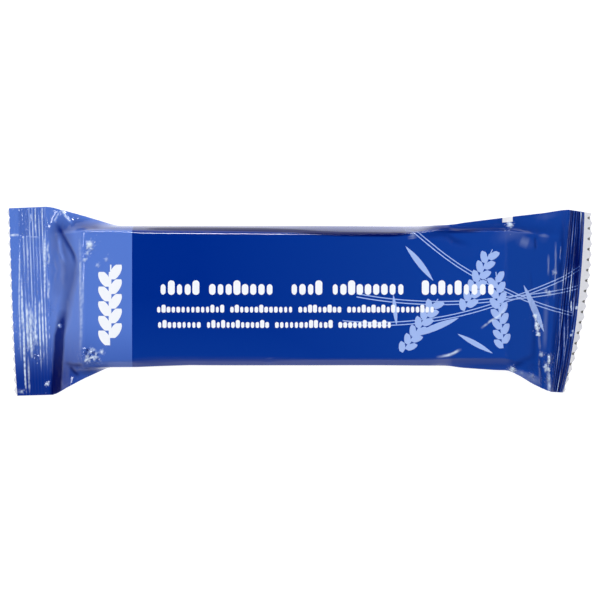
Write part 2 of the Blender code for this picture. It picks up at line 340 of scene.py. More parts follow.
# Light painted into the print's colour: from -1, painted shade deep in a fold or between ribs, to 1, a
# painted highlight where a glint falls on a crest.
left_crest = held(left_ribs / RIB_HEIGHT + 0.5) ** 2 * left_band
left_painted_light = left_crest * np.clip(0.4 + 1.2 * drawn + 0.6 * worn + (0.4 + 1.6 * broken) * uneven, 0.0, 1.5)
left_painted_light = left_painted_light * (0.15 + 0.85 * faded) - 0.25 * (1 - left_crest) * left_band * (1 - uneven)
right_crest = held(0.5 + 0.5 * fine_ribs) ** 2
right_painted_light = right_crest * np.clip(1.0 + 2.0 * drawn + worn + 0.5 * group_ribs, 0.0, 2.2)
right_painted_light = (right_painted_light - 1.0) * right_band
painted_light = np.where(left_depth > 0, left_painted_light, 0.0) + np.where(right_depth > 0, right_painted_light, 0.0)
raised = np.where(left_depth > 0, left_ribs, 0.0) + np.where(right_depth > 0, right_ribs, 0.0)
places = film_place(web_x, web_girth, raised)

# Folds and wrinkles where the tube flattens towards each seal, and lone creases that the jaws pressed flat:
# (x, y) in millimetres along each, its width and its depth, and its painted light, painted shade where
# negative and a painted highlight where positive. A negative depth is a ridge.
FOLDS = (
    (((76.8, 26), (75.6, 14.9), (74.7, 0.4), (73.6, -12.7), (72.6, -24.3)), 1.3, 0.08, -0.6),
    (((67.8, 0.4), (67.5, -12.7), (66.9, -19.9)), 1.5, 0.1, -0.3),
    (((71, 0.4), (70.5, -14)), 0.9, -0.06, 0.1),
    (((59.6, -19), (65.3, -21.3), (70.2, -24)), 2, 0, 0.16),
    (((-63, -19.9), (-58, -19.7), (-54, -19.5)), 1.6, 0, -0.45),
    (((37, 19.9), (44, 20), (52, 20.2)), 0.7, 0, -0.8),
    (((-71, 26), (-69.4, 18), (-68.6, 9), (-68.6, 1)), 4.6, 0, -0.6),
    (((-67.5, 23.6), (-61.6, 21.9), (-56.6, 21.4)), 2.4, 0, -0.38),
    (((-44.5, 21), (-30, 20.9), (-12, 20.6), (4, 20.1)), 0.75, 0, -1.6),
    (((-2, 19.9), (12, 19.3), (26, 19.2), (34, 19.7)), 0.8, 0, -1.8),
    (((-71, 22.4), (-70.1, 21.4), (-69, 19.5), (-67.8, 17.5), (-66.4, 15.2), (-65.4, 13.2),
      (-64.9, 11), (-65.2, 9.6)), 0.9, 0.16, -0.95),
    (((-64.9, 13), (-65.6, 8), (-67.2, 2), (-68.4, -3.9), (-69.6, -9)), 2.4, 0.24, -0.6),
    (((-68.8, -4), (-69.9, -10), (-70.2, -15), (-70.6, -20), (-70.9, -24), (-71.2, -32)),
     2, 0.1, -2.2),
    (((-70.2, 27.2), (-69.1, 26.2), (-67.9, 24.4), (-66.3, 22.6)), 0.5, -0.3, 1),
    (((-70.1, 26), (-70.8, 24.4), (-71.6, 23)), 0.5, -0.25, 0.8),
    (((-63.4, 17.6), (-63.2, 6), (-62.9, -8), (-63.3, -13.6)), 0.6, -0.16, 0.45),
    (((-62.4, 7.6), (-62.5, -2)), 0.4, -0.1, 0.35),
    (((-61.7, 18), (-61.8, 11)), 0.6, 0.16, -0.2),
    (((-70.6, 16), (-69.8, 8), (-71, 1)), 2.2, 0.2, -0.22),
    (((-68.6, -17.6), (-65.3, -18.4), (-62.4, -18.4)), 0.9, 0.1, -0.6),
    (((-66.9, -18.4), (-65.2, -20.4), (-63.8, -21.6)), 0.8, 0.1, -0.7),
    (((-62, -14.4), (-60.2, -16.6), (-58.6, -17.8)), 0.7, 0.16, -0.4),
    (((-60.9, -13.7), (-58.4, -15.9), (-57.2, -17.6)), 0.6, -0.24, 0.3),
    (((-77.1, 27.6), (-77.1, 20)), 0.3, -0.16, 1.4),
    (((-75, 27.4), (-75, 23.2)), 0.25, -0.14, 1.1),
    (((-78.4, 25.6), (-78.4, 23)), 0.3, -0.14, 0.9),
    (((-74.3, 20.4), (-74.3, 6.6), (-74.4, 0)), 0.35, -0.18, 1.3),
    (((-81.6, 17), (-81.8, 4), (-81.8, -3), (-81.3, -17)), 0.28, -0.14, 0.8),
    (((-81.1, 7.6), (-80.9, -8)), 0.35, -0.15, 1.2),
    (((-79.2, 17), (-79.2, 3)), 0.25, -0.12, 0.6),
    (((-77.1, 0.8), (-77.1, -12.8)), 0.35, -0.15, 1.3),
    (((-79.6, -0.6), (-79.4, -9), (-78.9, -14)), 0.5, -0.15, 1.2),
    (((-78.5, -1), (-78.3, -12), (-78, -17)), 0.45, -0.15, 1.2),
    (((-75.8, 0.4), (-75.9, -6)), 0.3, -0.14, 0.9),
    (((-80.6, -8.3), (-80.4, -16), (-80.1, -23.7), (-79.8, -27)), 0.35, -0.16, 1.3),
    (((-79.2, -17), (-78.9, -27)), 0.5, -0.12, 0.6),
    (((-84.2, 19.3), (-81.8, 19.3)), 0.35, -0.12, 1.4),
    (((-81, 18.8), (-80.3, 18.6)), 0.4, -0.12, 1),
    (((-79.7, 19), (-75.8, 18.6)), 0.25, -0.1, 0.6),
    (((-73.2, 17.6), (-73.5, 15), (-73, 12.6), (-73.3, 10.4)), 0.45, -0.14, 0.7),
    (((-73.3, 6.4), (-73, 4.4), (-73.4, 2.2), (-73.1, 0)), 0.45, -0.14, 0.7),
    (((-72.4, 12), (-71, 9), (-72.2, 5.6)), 0.7, 0.14, -0.2),
    (((-70, 19), (-69.4, 14), (-68, 11)), 0.9, -0.14, 0.06),
    (((34, 18.6), (41.6, 19.3), (44, 17.4), (48, 16.2)), 1.2, 0.3, -0.3),
    (((56.1, 17.8), (63.3, 20.7), (70.6, 23.5), (74.6, 25.2)), 2.4, -0.05, 0.06),
    (((63, 17.6), (65.8, 16.6)), 1.9, 0.05, 0.15),
    (((70.4, 20.2), (70.2, 18.4)), 1.8, 0.05, 0.14),
    (((67.6, 18.6), (67.8, 14.8)), 0.5, 0.2, -0.5),
    (((66.3, 8.6), (66.8, 2), (66.4, -4)), 0.5, 0.12, -0.15),
    (((71.6, 13.6), (71.6, 7.6)), 0.3, -0.1, 0.25),
    (((72.4, 10), (72.2, 2)), 0.35, 0.13, -0.2),
    (((73.8, 17.2), (73.8, 9), (73.4, 1)), 0.3, -0.12, 0.3),
    (((75.3, 17.2), (75.2, 11)), 0.3, -0.14, 0.6),
    (((74.6, 9.4), (74.4, 0), (73.6, -9)), 0.4, 0.14, -0.3),
    (((67.5, -3.9), (67.9, -5.4), (68, -7.6), (68.7, -10.2)), 0.36, -0.25, 0.5),
    (((78.7, 0.4), (78.7, -3.1)), 0.38, -0.16, 2),
    (((76.6, -4.6), (76.5, -18.8)), 0.4, -0.1, 0.5),
    (((77.7, 0.6), (77.6, -13)), 0.3, -0.1, 0.4),
    (((75.2, 0.6), (75, -20)), 0.3, -0.1, 0.35),
    (((68.6, -9.8), (69, -14)), 0.6, -0.2, 0.15),
    (((58.7, -1.3), (58.1, -2.7), (56.8, -4.2), (54.2, -5.7), (51.9, -7.6)), 0.4, -0.14, 0.8),
    (((60.9, -19.3), (64, -17.2), (68, -16)), 1.3, 0.18, -0.3),
    (((71.9, -15.4), (71.9, -18.2)), 0.5, -0.3, 2),
    (((70.9, -17.6), (70.8, -20.6)), 0.4, -0.25, 0.9),
    (((71.8, -20.2), (71.9, -22.4), (72.2, -26.4)), 0.7, -0.35, 0.8),
    (((69.2, -15.4), (69.7, -20), (69.9, -24.6)), 0.8, 0.32, -0.3),
    (((39.9, -15.9), (42.8, -15.3), (45.6, -13.9)), 0.5, -0.2, 1),
)


def fold_depth(place, points, width):
    """1 on a fold's line, falling to 0 at its width on either side and tapering off at its two ends."""
    nearest = np.full(len(place), np.inf)
    walked = np.zeros(len(place))
    length = 0.0
    for start, stop in zip(points, points[1:]):
        start = np.array(start) * MM
        span = np.array(stop) * MM - start
        along = held((place - start) @ span / (span @ span))
        distance = np.linalg.norm(place - start - along[:, None] * span, axis=1)
        walked = np.where(distance < nearest, length + along * np.linalg.norm(span), walked)
        nearest = np.minimum(nearest, distance)
        length += np.linalg.norm(span)
    away = held(nearest / (width * MM))
    # Straight sides over a round bottom, brought to 0 on the line and 1 at the width.
    off_line = (np.sqrt(away**2 + 0.05) - 0.2236) / 0.8011
    taper = held(np.minimum(walked, length - walked) / (0.22 * length))
    return (1 - off_line) * (0.15 + 0.85 * taper)


flatness = np.where(web_x < 0, end_share(LEFT_END, web_girth, web_x), end_share(RIGHT_END, web_girth, web_x))
flatness = np.where((left_depth > 0) | (right_depth > 0), 1.0, flatness)
shaping = np.zeros(len(web_x))
ragged = np.clip(0.75 + 0.9 * speckle(web_x, web_girth, 0.9 * MM, 0.9 * MM, 22.0), 0.1, 1.0)
# Each fold shapes the film and paints its shade or highlight into the colour. The stronger painted highlights
# are broken up.
for points, width, depth, fold_painted_light in FOLDS:
    folded = fold_depth(places[:, :2], points, width)
    shaping -= depth * MM * folded
    painted_light += (fold_painted_light * (ragged if fold_painted_light > 0.3 else 1.0) - painted_light) * folded

# Small dents and puckers that catch the light: (x, y) in millimetres, radius, height and painted light, a
# painted glint where positive and painted shade where negative. A crowd of smaller ones is added at the near
# corner of the bar's left end, where the film is crushed.
PUCKERS = [
    (-60.6, 16.1, 0.75, 0.6, 1.6), (-61.2, 13.9, 0.45, 0.3, 0.8), (-62, 12, 0.42, 0.3, 0.8),
    (-58.2, 10.4, 0.4, 0.28, 0.5), (-55.7, 12.1, 0.42, 0.26, 0.4), (-69.9, -6.9, 0.4, 0.3, 1.2),
    (-57.1, -14.4, 0.42, 0.3, 1.2), (-73.6, -24, 0.5, 0.2, 1), (-81.3, -26.2, 0.4, 0.1, 1),
    (60.2, 22, 0.8, 0.6, 1.6), (67.7, -4.3, 0.5, 0.3, 2.2), (68.5, -9.4, 0.45, 0.36, 2),
    (68.1, -6.6, 0.5, 0.3, 2.4), (68.2, -7.8, 0.45, 0.3, 2.2),
    (69.5, -15.4, 0.55, 0.34, 0.7), (71.6, -19.6, 0.5, 0.4, 1.2), (70.7, -18.9, 0.4, 0.3, 0.9),
    (60.8, -19.5, 0.7, 0.5, 1.2), (66.5, -21.4, 0.5, 0.36, 0.3), (63.6, -20.6, 0.45, 0.32, 0.3),
    (-8.4, -17.6, 0.5, 0.34, 0.6), (31.6, 19.1, 0.5, 0.35, 0.7),
    (73.6, 8.4, 0.5, 0.3, 0.5), (71.9, 2.4, 0.5, 0.3, 0.6), (70.9, 3, 0.4, 0.25, 0.5),
    (80.3, -1.8, 0.4, 0.1, 1.4), (78.7, -9.8, 0.45, 0.1, 1.3), (79.1, -8.6, 0.35, 0.1, 0.8),
]
CRUSHED_MIDDLE = (-60.2, -15.6)
CRUSHED_SPREAD = (1.1, 1.0)
CRUSHED_COUNT = 34
crushed = np.random.default_rng(5)
for step in range(CRUSHED_COUNT):
    x, y = crushed.normal(CRUSHED_MIDDLE, CRUSHED_SPREAD)
    sign = -1.0 if step % 3 == 0 else 1.0
    PUCKERS.append((x, y, crushed.uniform(0.26, 0.42), sign * 0.22, sign * crushed.uniform(0.5, 1.4)))
wander = 1 + 0.9 * speckle(web_x, web_girth, 0.55 * MM, 0.55 * MM, 31.0)
for x, y, radius, height, pucker_painted_light in PUCKERS:
    distance = np.hypot(places[:, 0] - x * MM, places[:, 1] - y * MM)
    bulge = np.exp(-((distance * wander / (radius * MM)) ** 2))
    shaping += height * MM * bulge
    painted_light += (pucker_painted_light - painted_light) * bulge

# Patches of film creased too finely for the mesh: (x, y) and radius in millimetres, and how strongly.
CREASED = (
    (-79.5, -7, 4.5, 0.7), (-78.4, -13, 3.5, 0.8), (-76.9, -16, 1.6, 1), (-78, 24, 3, 0.5),
    (-73.8, 11, 1.6, 0.7), (-72.8, -2, 2, 0.5), (-61, -15.6, 2.4, 1), (-58.5, -16.6, 1.6, 0.8),
    (-60.6, 14.8, 1.6, 0.7), (-70, -7, 1.5, 0.6), (69, -7.2, 1.6, 0.9), (71.6, -18, 2.2, 1),
    (71.2, -22.4, 1.8, 1), (78, -1, 1.4, 0.9), (79.8, -1.7, 0.9, 0.9), (78.1, -10.6, 1.2, 0.9),
    (72.2, -16.6, 1.8, 1), (68.8, 2, 2.4, 0.5), (60.8, -19.4, 1.2, 0.9), (66.8, -21.8, 2.2, 0.35),
)
RIGHT_SEAL_CREASED = 0.2
BACK_CREASED = 0.15
creased = np.where(left_depth > 0, 0.05 + 0.15 * faded, np.where(right_depth > 0, RIGHT_SEAL_CREASED, 0.0))
for x, y, radius, amount in CREASED:
    distance = np.hypot(places[:, 0] - x * MM, places[:, 1] - y * MM)
    creased = np.maximum(creased, amount * np.exp(-((distance / (radius * MM)) ** 2)))
creased = np.where(walked_girth < BACK_CORNER, creased, BACK_CREASED)

# Slack film crumples on the slopes. Drawn tight along the bar, it keeps flat lumps on top and long waves in
# its walls. The under layer of a seal follows the upper one.
LEFT_CRUMPLE = 0.14 * MM
RIGHT_CRUMPLE = 0.1 * MM
LUMP_HEIGHT = 0.035 * MM
WAVE_HEIGHT = 0.12 * MM
WAVE_PAST_CORNER = 2.5 * MM

slack = held(flatness * 1.6) * held(1.2 - np.maximum(left_depth, right_depth) / MM)
crumple = np.abs(speckle(web_x, web_girth, 2.2 * MM, 5.5 * MM, 1.0)) + 0.5 * speckle(
    web_x, web_girth, 1.1 * MM, 2.4 * MM, 5.0
)
wave = speckle(web_x, web_girth, 26 * MM, 11 * MM, 12.0)
lumps = speckle(web_x, web_girth, 9 * MM, 7 * MM, 17.0)
on_top = walked_girth < TOP_CORNER
on_wall = (walked_girth > TOP_CORNER) & (walked_girth < BACK_CORNER)
off_wall = np.exp(-(((walked_girth - TOP_CORNER) / WAVE_PAST_CORNER) ** 2))
shaping -= np.where(web_x < 0, LEFT_CRUMPLE, RIGHT_CRUMPLE) * slack * crumple
shaping *= np.where(walked_girth < OUTER_FOLD, 1.0, -(flatness**2))
shaping += LUMP_HEIGHT * lumps * (1 - flatness) * np.where(on_top, 1.0, 0.0)
shaping += WAVE_HEIGHT * wave * (1 - flatness) * np.where(on_wall, 1.0, off_wall)

# The shaping goes outward from the smooth film.
lattice = np.zeros((len(WEB_ROWS), len(WEB_STATIONS), 3))
lattice[row, column] = film_place(web_x, web_girth, np.zeros(len(web_x)))
outward = np.cross(np.gradient(lattice, axis=1), np.gradient(lattice, axis=0))
outward /= np.maximum(np.linalg.norm(outward, axis=2, keepdims=True), 1e-12)
places += outward[row, column] * shaping[:, None]

# Shade is painted on the walls down to the outer folds, deeper on the far one than on the near one.
FAR_SHADE = 0.6
NEAR_SHADE = 0.25
FAR_SHADE_START = 0.4 * MM
FAR_SHADE_BLEND = 1.2 * MM
NEAR_SHADE_BLEND = 1.0 * MM
SHADE_END = 1.0 * MM
SHADE_FADE = 4.5 * MM

far_wall = held((web_girth - TOP_CORNER - FAR_SHADE_START) / FAR_SHADE_BLEND) * (1 - flatness)
near_wall = held((-web_girth - TOP_CORNER) / NEAR_SHADE_BLEND) * (1 - flatness)
shade_fade = held((OUTER_FOLD - SHADE_END - walked_girth) / SHADE_FADE)
wall_shade = (FAR_SHADE * far_wall + NEAR_SHADE * near_wall) * shade_fade
painted_light = np.clip(np.where(walked_girth < OUTER_FOLD, painted_light - wall_shade, 0.0), -1.0, 1.0)
creasing = web.verts.layers.float.new("creased")
painted_light_layer = web.verts.layers.float.new("painted_light")
for vert, place, amount, level in zip(web.verts, places, creased, painted_light):
    vert.co = place
    vert[creasing] = amount
    vert[painted_light_layer] = level
long_edges = [vert for vert, r in zip(web.verts, row) if r in (0, len(WEB_ROWS) - 1)]
bmesh.ops.remove_doubles(web, verts=long_edges, dist=1e-6)
bmesh.ops.holes_fill(web, edges=[edge for edge in web.edges if edge.is_boundary], sides=0)
bmesh.ops.recalc_face_normals(web, faces=web.faces)


def make_object(name, shape):
    """Makes a finished shape into an object of the scene."""
    mesh = bpy.data.meshes.new(name)
    shape.to_mesh(mesh)
    shape.free()
    made = bpy.data.objects.new(name, mesh)
    bpy.context.scene.collection.objects.link(made)
    return made


film_tube = make_object("film_tube", web)

# The knife that parts one pack from the next: a zigzag blade, so each cut edge is a row of small teeth. Each
# cut leans a little, and the right one is bowed, because its seal bends down.
LEFT_CUT = -84.5 * MM
LEFT_LEAN = -0.036
RIGHT_CUT = 83.7 * MM
RIGHT_LEAN = 0.15
RIGHT_BOW = -3.4
TOOTH_PITCH = 3.05 * MM
TOOTH_DEPTH = 0.8 * MM
KNIFE_LENGTH = 24.0 * MM
KNIFE_TEETH = 23
SHARP_ANGLE = math.radians(50)


def knife(name, cut, lean, bow, outward):
    """All that lies outward of the toothed line x = cut + lean * y + bow * y * y, seen from above."""
    blade = bmesh.new()
    line = []
    for step in range(2 * KNIFE_TEETH + 1):
        y = (step - KNIFE_TEETH) / 2 * TOOTH_PITCH
        x = cut + lean * y + bow * y * y
        line.append(blade.verts.new((x - outward * TOOTH_DEPTH * (step % 2), y, -BAR_HEIGHT)))
    back = cut + outward * KNIFE_LENGTH
    line.append(blade.verts.new((back, KNIFE_TEETH / 2 * TOOTH_PITCH, -BAR_HEIGHT)))
    line.append(blade.verts.new((back, -KNIFE_TEETH / 2 * TOOTH_PITCH, -BAR_HEIGHT)))
    raised_part = bmesh.ops.extrude_face_region(blade, geom=[blade.faces.new(line)])["geom"]
    lifted = [part for part in raised_part if isinstance(part, bmesh.types.BMVert)]
    bmesh.ops.translate(blade, verts=lifted, vec=(0, 0, 2 * BAR_HEIGHT))
    bmesh.ops.recalc_face_normals(blade, faces=blade.faces)
    return make_object(name, blade)


def cut_ends(piece):
    """Cuts both ends of a piece with the toothed knives, keeps the cut mesh as its own and smooths it."""
    knives = (
        knife("left_knife", LEFT_CUT, LEFT_LEAN, 0.0, -1.0),
        knife("right_knife", RIGHT_CUT, RIGHT_LEAN, RIGHT_BOW, 1.0),
    )
    for blade in knives:
        cut = piece.modifiers.new(blade.name, "BOOLEAN")
        cut.operation = "DIFFERENCE"
        cut.solver = "EXACT"
        cut.object = blade
    bpy.context.view_layer.update()
    whole = piece.data
    piece.data = bpy.data.meshes.new_from_object(piece.evaluated_get(bpy.context.evaluated_depsgraph_get()))
    piece.modifiers.clear()
    bpy.data.meshes.remove(whole)
    for blade in knives:
        bpy.data.objects.remove(blade)
    piece.data.name = piece.name
    piece.data.shade_smooth()
    piece.data.set_sharp_from_angle(angle=SHARP_ANGLE)


cut_ends(film_tube)


# The print: inks laid on the inner side of clear polypropylene film, over a thin metallised backing. The eye
# sees even colour under a gloss that throws a sharp glint off each crease. The inks are read from the flat
# web's map in millimetres: a light blue panel at the left end, a deep blue field, and bare film at the cuts.
def linear(hex_colour):
    """An sRGB hex colour as linear values with alpha."""
    channels = [int(hex_colour[i : i + 2], 16) / 255 for i in (1, 3, 5)]
    return (*[c / 12.92 if c <= 0.04045 else ((c + 0.055) / 1.055) ** 2.4 for c in channels], 1.0)


def add(tree, kind, inputs, operation=None, **settings):
    """Adds one node with its settings, and its inputs as values or as the sockets that feed them.

    A Map Range goes from inputs 1 and 2 to 3 and 4. A colour Mix goes from 6 to 7, at its output 2."""
    made = tree.nodes.new(kind)
    if operation:
        made.operation = operation
    for name, value in settings.items():
        setattr(made, name, value)
    for place, value in inputs.items():
        if isinstance(value, bpy.types.NodeSocket):
            tree.links.new(value, made.inputs[place])
        else:
            made.inputs[place].default_value = value
    return made.outputs[0]


PANEL_EDGE = -48.4
PRINT_END = 81.9
PRINT_START = -83.9
EYE_MARK = (59.4, 26.7, 0.0)
EYE_MARK_SIZE = (2.8, 2.4)
PER_MM = (1 / MM, 1 / MM, 1 / MM)

printed_film = bpy.data.materials.new("reverse_printed_polypropylene_film")
printed_film.use_nodes = True
ink = printed_film.node_tree
gloss_film = ink.nodes["Principled BSDF"]
web_uv = add(ink, "ShaderNodeUVMap", {}, uv_map="flat_web")
web_mm = add(ink, "ShaderNodeVectorMath", {0: web_uv, 1: PER_MM}, "MULTIPLY")
web_axes = add(ink, "ShaderNodeSeparateXYZ", {0: web_mm}).node.outputs
along, across = web_axes["X"], web_axes["Y"]

# The deep blue grows a little lighter to the right and towards the near side. The panel darkens near the
# near side, most at its left.
field_share = add(ink, "ShaderNodeMapRange", {0: along, 1: -30.0, 2: 62.0})
field_low = add(ink, "ShaderNodeMapRange", {0: across, 1: 0.0, 2: -19.0, 3: 0.0, 4: 0.45})
field_sum = add(ink, "ShaderNodeMath", {0: field_share, 1: field_low}, "MAXIMUM")
field = add(
    ink, "ShaderNodeMix", {0: field_sum, 6: linear("#002A8A"), 7: linear("#123F9A")}, data_type="RGBA"
).node.outputs[2]
panel_low = add(ink, "ShaderNodeMapRange", {0: across, 1: -5.0, 2: -24.0}, interpolation_type="SMOOTHSTEP")
panel_left = add(ink, "ShaderNodeMapRange", {0: along, 1: -58.0, 2: -70.0, 3: 0.5, 4: 1.0})
panel_share = add(ink, "ShaderNodeMath", {0: panel_low, 1: panel_left}, "MULTIPLY")
panel = add(
    ink, "ShaderNodeMix", {0: panel_share, 6: linear("#567AD0"), 7: linear("#08308C")}, data_type="RGBA"
).node.outputs[2]
in_panel = add(ink, "ShaderNodeMath", {0: along, 1: PANEL_EDGE}, "LESS_THAN")
ground = add(ink, "ShaderNodeMix", {0: in_panel, 6: field, 7: panel}, data_type="RGBA").node.outputs[2]

ROWS_START = -50.0
ROWS_END = 75.0


def block_row(middle, height, pitch, groups, seed):
    """A row of small rounded blocks, some of them taller, in groups with a (start, end) each."""
    scaled = add(ink, "ShaderNodeMath", {0: along, 1: pitch}, "DIVIDE")
    shifted = add(ink, "ShaderNodeMath", {0: scaled, 1: seed}, "ADD")
    cell = add(ink, "ShaderNodeMath", {0: shifted}, "FLOOR")
    inside = add(ink, "ShaderNodeMath", {0: shifted}, "FRACT")
    chance = add(ink, "ShaderNodeTexWhiteNoise", {"W": cell}, noise_dimensions="1D")
    off_middle = add(ink, "ShaderNodeMath", {0: inside, 1: 0.5}, "SUBTRACT")
    sideways = add(ink, "ShaderNodeMath", {0: off_middle}, "ABSOLUTE")
    half_width = add(ink, "ShaderNodeMapRange", {0: chance, 3: 0.3, 4: 0.44})
    past_side = add(ink, "ShaderNodeMath", {0: sideways, 1: half_width}, "SUBTRACT")
    past_side_mm = add(ink, "ShaderNodeMath", {0: past_side, 1: pitch}, "MULTIPLY")
    tall = add(ink, "ShaderNodeMath", {0: chance, 1: 0.72}, "GREATER_THAN")
    extra = height * 0.17
    lift = add(ink, "ShaderNodeMath", {0: tall, 1: extra, 2: middle}, "MULTIPLY_ADD")
    half_height = add(ink, "ShaderNodeMath", {0: tall, 1: extra, 2: height / 2}, "MULTIPLY_ADD")
    off_line = add(ink, "ShaderNodeMath", {0: across, 1: lift}, "SUBTRACT")
    upright = add(ink, "ShaderNodeMath", {0: off_line}, "ABSOLUTE")
    past_top = add(ink, "ShaderNodeMath", {0: upright, 1: half_height}, "SUBTRACT")
    rounding = 0.3 * height
    past_corner = add(ink, "ShaderNodeCombineXYZ", {0: past_side_mm, 1: past_top})
    off_round = add(ink, "ShaderNodeVectorMath", {0: past_corner, 1: (rounding, rounding, 0)}, "ADD")
    outside = add(ink, "ShaderNodeVectorMath", {0: off_round, 1: (0, 0, 0)}, "MAXIMUM")
    reach = add(ink, "ShaderNodeVectorMath", {0: outside}, "LENGTH").node.outputs["Value"]
    block = add(ink, "ShaderNodeMath", {0: reach, 1: rounding}, "LESS_THAN")

    # A block is shown by its middle, so that a group starts and ends with a whole one.
    block_at = add(ink, "ShaderNodeMath", {0: cell, 1: pitch, 2: (0.5 - seed) * pitch}, "MULTIPLY_ADD")
    row_share = add(ink, "ShaderNodeMapRange", {0: block_at, 1: ROWS_START, 2: ROWS_END})
    shown = add(ink, "ShaderNodeValToRGB", {0: row_share})
    steps = shown.node.color_ramp
    steps.interpolation = "CONSTANT"
    steps.elements[0].color = (0, 0, 0, 1)
    steps.elements.remove(steps.elements[1])
    for group in groups:
        for group_edge, level in zip(group, (1, 0)):
            edge_at = (round(group_edge / pitch + seed) - seed) * pitch
            step = steps.elements.new((edge_at - ROWS_START) / (ROWS_END - ROWS_START))
            step.color = (level, level, level, 1)
    return add(ink, "ShaderNodeMath", {0: block, 1: shown}, "MULTIPLY")


large_row = block_row(
    1.9, 3.1, 2.35, ((-41.5, -30.0), (-27.6, -6.6), (-4.2, 5.2), (7.6, 31.0), (33.4, 54.6)), 0.3
)
middle_row = block_row(-3.9, 1.7, 1.4, ((-41.5, -22.0), (-20.4, -2.3), (-0.7, 12.0), (13.4, 39.0)), 0.6)
near_row = block_row(-8.3, 1.7, 1.4, ((-41.5, -29.0), (-27.4, -9.6), (-8.0, 8.8), (10.2, 25.4)), 0.4)


def own_axes(x, y, turn):
    """The map measured from (x, y), in millimetres along and across a direction turned by some degrees."""
    moved = add(ink, "ShaderNodeVectorMath", {0: web_mm, 1: (x, y, 0)}, "SUBTRACT")
    turned = add(
        ink, "ShaderNodeVectorRotate", {0: moved, "Angle": -math.radians(turn)}, rotation_type="Z_AXIS"
    )
    axes = add(ink, "ShaderNodeSeparateXYZ", {0: turned}).node.outputs
    return axes["X"], axes["Y"]


# Half a kernel's length and width and half the stem's width, as shares of the step between kernels.
HALF_LENGTH = 1 / 1.55
HALF_WIDTH = 1 / 3.1
HALF_STEM = 0.09
KERNEL_SLANT = math.radians(32)


def grain_ear(x, y, turn, kernels, spread, size):
    """An ear of grain from its foot at (x, y): slanting ovals, size apart and spread off a thin stem."""
    up, aside = own_axes(x, y, turn)
    side = add(ink, "ShaderNodeMath", {0: aside}, "ABSOLUTE")
    right = add(ink, "ShaderNodeMath", {0: aside, 1: 0.0}, "GREATER_THAN")
    stagger = add(ink, "ShaderNodeMath", {0: right, 1: size / 2, 2: up}, "MULTIPLY_ADD")
    step = add(ink, "ShaderNodeMath", {0: stagger, 1: size}, "FLOORED_MODULO")
    in_step = add(ink, "ShaderNodeCombineXYZ", {0: step, 1: side})
    kernel_at = add(ink, "ShaderNodeVectorMath", {0: in_step, 1: (size / 2, spread, 0)}, "SUBTRACT")
    slant = {0: kernel_at, "Angle": -KERNEL_SLANT}
    slanted = add(ink, "ShaderNodeVectorRotate", slant, rotation_type="Z_AXIS")
    to_oval = (1 / (HALF_LENGTH * size), 1 / (HALF_WIDTH * size), 0)
    fitted = add(ink, "ShaderNodeVectorMath", {0: slanted, 1: to_oval}, "MULTIPLY")
    reach = add(ink, "ShaderNodeVectorMath", {0: fitted}, "LENGTH").node.outputs["Value"]
    kernel = add(ink, "ShaderNodeMath", {0: reach, 1: 1.0}, "LESS_THAN")
    stem = add(ink, "ShaderNodeMath", {0: side, 1: HALF_STEM * size}, "LESS_THAN")
    shape = add(ink, "ShaderNodeMath", {0: kernel, 1: stem}, "MAXIMUM")
    above = add(ink, "ShaderNodeMath", {0: stagger, 1: 0.0}, "GREATER_THAN")
    below = add(ink, "ShaderNodeMath", {0: stagger, 1: size * kernels}, "LESS_THAN")
    part = add(ink, "ShaderNodeMath", {0: above, 1: below}, "MULTIPLY")
    return add(ink, "ShaderNodeMath", {0: shape, 1: part}, "MULTIPLY")


def double_arc(x, y, radius, gap, width, start, end):
    """Two thin parallel arcs about (x, y), between start and end along the pack, in millimetres."""
    reach = add(ink, "ShaderNodeVectorMath", {0: web_mm, 1: (x, y, 0)}, "DISTANCE").node.outputs["Value"]
    off_arc = add(ink, "ShaderNodeMath", {0: reach, 1: radius}, "SUBTRACT")
    off_pair = add(ink, "ShaderNodeMath", {0: off_arc}, "ABSOLUTE")
    off_line = add(ink, "ShaderNodeMath", {0: off_pair, 1: gap / 2}, "SUBTRACT")
    near = add(ink, "ShaderNodeMath", {0: off_line}, "ABSOLUTE")
    line = add(ink, "ShaderNodeMath", {0: near, 1: width / 2}, "LESS_THAN")
    past_start = add(ink, "ShaderNodeMath", {0: along, 1: start}, "GREATER_THAN")
    before_end = add(ink, "ShaderNodeMath", {0: along, 1: end}, "LESS_THAN")
    part = add(ink, "ShaderNodeMath", {0: past_start, 1: before_end}, "MULTIPLY")
    return add(ink, "ShaderNodeMath", {0: line, 1: part}, "MULTIPLY")


def leaf_blade(x, y, turn, length, width):
    """A slim leaf, pointed at both ends, about its middle (x, y) in millimetres."""
    up, aside = own_axes(x, y, turn)
    share = add(ink, "ShaderNodeMath", {0: up, 1: length / 2}, "DIVIDE")
    square = add(ink, "ShaderNodeMath", {0: share, 1: share}, "MULTIPLY")
    room = add(ink, "ShaderNodeMath", {0: square, 1: -width / 2, 2: width / 2}, "MULTIPLY_ADD")
    side = add(ink, "ShaderNodeMath", {0: aside}, "ABSOLUTE")
    return add(ink, "ShaderNodeMath", {0: side, 1: room}, "LESS_THAN")


